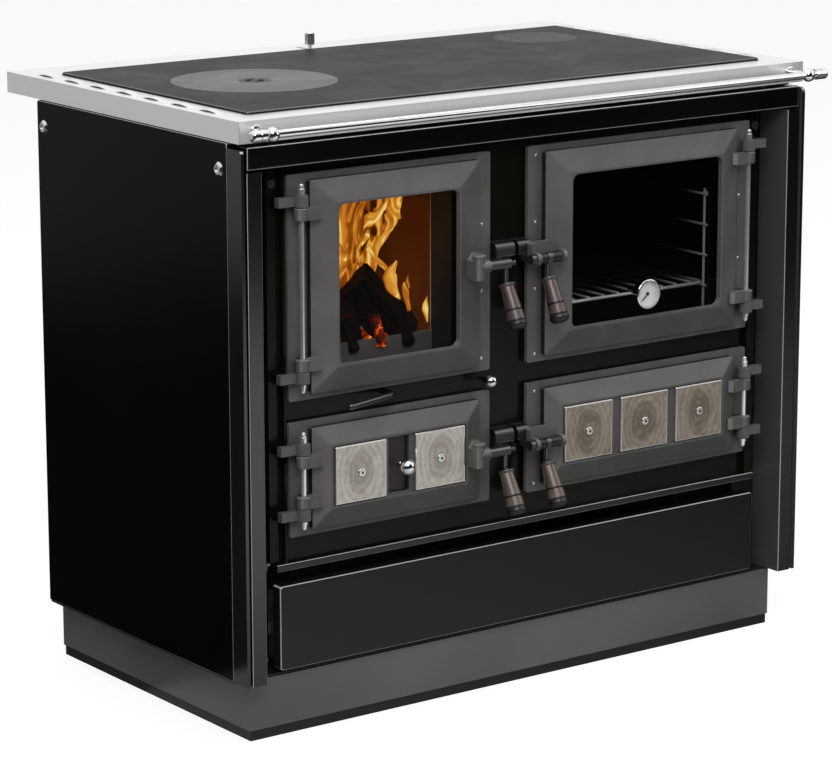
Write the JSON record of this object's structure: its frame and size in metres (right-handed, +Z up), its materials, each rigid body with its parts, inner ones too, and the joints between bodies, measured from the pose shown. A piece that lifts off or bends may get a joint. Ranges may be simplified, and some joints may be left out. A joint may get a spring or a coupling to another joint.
{
  "type": "wood cookstove",
  "caption": "Free-standing wood-fired kitchen stove with a steel-framed cast hob, glazed fire and oven doors, ash and storage doors, wood drawer and front rail.",
  "frame": {"origin": "on the floor, under the centre of the hob frame", "axes": "+X to the right seen from the front, +Y to the back (the doors face -Y), +Z up"},
  "size_m": [1.014, 0.6664, 0.894],
  "materials": {
    "brushed_steel": "brushed along its length",
    "cast_hob": "ground, satin",
    "chrome": "polished",
    "black_enamel": "glossy enamel",
    "grey_cast": "matte stove paint",
    "plinth_paint": "satin",
    "zinc_sheet": "plain zinc-coated sheet",
    "raw_iron": "dull",
    "fireclay": "dull",
    "oven_enamel": "speckled gloss enamel",
    "glass": "clear heat-proof glass",
    "rope_seal": "woven glass rope",
    "clip_steel": "plain",
    "grip_wood": "turned and varnished",
    "needle_red": "matte",
    "pale_insert": "polished enamel with a soft swirl",
    "brown_insert": "polished enamel with a burl pattern",
    "spring_steel": "coiled wire"
  },
  "bodies": {
    "stove": {"base_frame": "zinc_sheet", "plinth_skirt": "plinth_paint", "back_panel": "zinc_sheet", "drawer_bay": "zinc_sheet", "storage_box": "zinc_sheet", "ash_pan": "zinc_sheet", "side_panels": "black_enamel", "corner_posts": "black_enamel", "top_fascia": "black_enamel", "front_plate": "black_enamel", "drawer_ledge": "black_enamel", "door_catches": "black_enamel", "fixing_screws": "chrome", "front_rail": "chrome", "hinge_pins": "chrome", "rack_guides": "chrome", "oven_rack": "chrome", "hob_frame": "brushed_steel", "hob_plate": "cast_hob", "firebox_shell": "raw_iron", "grate_frame": "raw_iron", "flue_casing": "raw_iron", "flue_collar": "raw_iron", "firebricks": "fireclay", "oven_shell": "oven_enamel"},
    "fire_door": {"fire_door_frame": "grey_cast", "fire_door_glass": "glass", "fire_glass_clips": "clip_steel", "fire_door_seal": "rope_seal"},
    "oven_door": {"oven_door_frame": "grey_cast", "oven_door_glass": "glass", "oven_glass_clips": "clip_steel", "oven_door_seal": "rope_seal", "thermometer_case": "chrome"},
    "ash_door": {"ash_door_frame": "grey_cast", "ash_door_plates": "pale_insert"},
    "storage_door": {"storage_door_frame": "grey_cast", "storage_door_plates": "brown_insert"},
    "fire_handle": {"fire_handle_lever": "chrome", "fire_handle_grip": "grip_wood"},
    "oven_handle": {"oven_handle_lever": "chrome", "oven_handle_springs": "spring_steel", "oven_handle_grip": "grip_wood"},
    "ash_handle": {"ash_handle_lever": "chrome", "ash_handle_grip": "grip_wood"},
    "storage_handle": {"storage_handle_lever": "chrome", "storage_handle_springs": "spring_steel", "storage_handle_grip": "grip_wood"},
    "thermometer_pointer": {"thermometer_needle": "needle_red"},
    "primary_air": {"air_slide": "chrome"},
    "secondary_air": {"air_lever": "chrome"},
    "grate_puller": {"shaker_rod": "chrome", "grate_shaker": "raw_iron"},
    "damper": {"damper_slide": "brushed_steel", "damper_knob": "chrome"},
    "ring_cover_body": {"ring_cover": "cast_hob"},
    "ring_lid_body": {"ring_lid": "cast_hob"},
    "flue_cover_body": {"flue_cover": "cast_hob"},
    "drawer": {"drawer_box": "zinc_sheet", "drawer_front": "black_enamel"}
  },
  "joints": [
    {"name": "fire_door_hinge", "type": "hinge", "parent": "stove", "child": "fire_door", "pos_m": [-0.3985, -0.3015, 0.63], "axis": [0, 0, -1], "range_deg": [0, 110]},
    {"name": "oven_door_hinge", "type": "hinge", "parent": "stove", "child": "oven_door", "pos_m": [0.3985, -0.3015, 0.63], "axis": [0, 0, 1], "range_deg": [0, 110]},
    {"name": "ash_door_hinge", "type": "hinge", "parent": "stove", "child": "ash_door", "pos_m": [-0.3985, -0.3015, 0.363], "axis": [0, 0, -1], "range_deg": [0, 110]},
    {"name": "storage_door_hinge", "type": "hinge", "parent": "stove", "child": "storage_door", "pos_m": [0.3985, -0.3015, 0.363], "axis": [0, 0, 1], "range_deg": [0, 110]},
    {"name": "fire_handle_turn", "type": "hinge", "parent": "fire_door", "child": "fire_handle", "pos_m": [-0.066, -0.3205, 0.631], "axis": [-1, 0, 0], "range_deg": [0, 50]},
    {"name": "oven_handle_turn", "type": "hinge", "parent": "oven_door", "child": "oven_handle", "pos_m": [0.009, -0.3205, 0.631], "axis": [-1, 0, 0], "range_deg": [0, 50], "stiffness_Nm_per_rad": 0.4},
    {"name": "ash_handle_turn", "type": "hinge", "parent": "ash_door", "child": "ash_handle", "pos_m": [-0.066, -0.3205, 0.362], "axis": [-1, 0, 0], "range_deg": [0, 50]},
    {"name": "storage_handle_turn", "type": "hinge", "parent": "storage_door", "child": "storage_handle", "pos_m": [0.009, -0.3205, 0.362], "axis": [-1, 0, 0], "range_deg": [0, 50], "stiffness_Nm_per_rad": 0.4},
    {"name": "thermometer_needle_turn", "type": "hinge", "parent": "oven_door", "child": "thermometer_pointer", "pos_m": [0.206, -0.305, 0.5525], "axis": [0, 1, 0], "range_deg": [0, 270]},
    {"name": "primary_air_slide", "type": "slide", "parent": "ash_door", "child": "primary_air", "axis": [1, 0, 0], "range_m": [-0.014, 0.014]},
    {"name": "secondary_air_slide", "type": "slide", "parent": "stove", "child": "secondary_air", "axis": [0, -1, 0], "range_m": [0, 0.025]},
    {"name": "grate_pull", "type": "slide", "parent": "stove", "child": "grate_puller", "axis": [0, -1, 0], "range_m": [0, 0.03]},
    {"name": "damper_slide_joint", "type": "slide", "parent": "stove", "child": "damper", "axis": [0, 1, 0], "range_m": [0, 0.03]},
    {"name": "ring_cover_lift", "type": "slide", "parent": "stove", "child": "ring_cover_body", "axis": [0, 0, 1], "range_m": [0, 0.12]},
    {"name": "ring_lid_lift", "type": "slide", "parent": "ring_cover_body", "child": "ring_lid_body", "axis": [0, 0, 1], "range_m": [0, 0.08]},
    {"name": "flue_cover_lift", "type": "slide", "parent": "stove", "child": "flue_cover_body", "axis": [0, 0, 1], "range_m": [0, 0.12]},
    {"name": "drawer_slide", "type": "slide", "parent": "stove", "child": "drawer", "axis": [0, -1, 0], "range_m": [0, 0.4]}
  ]
}
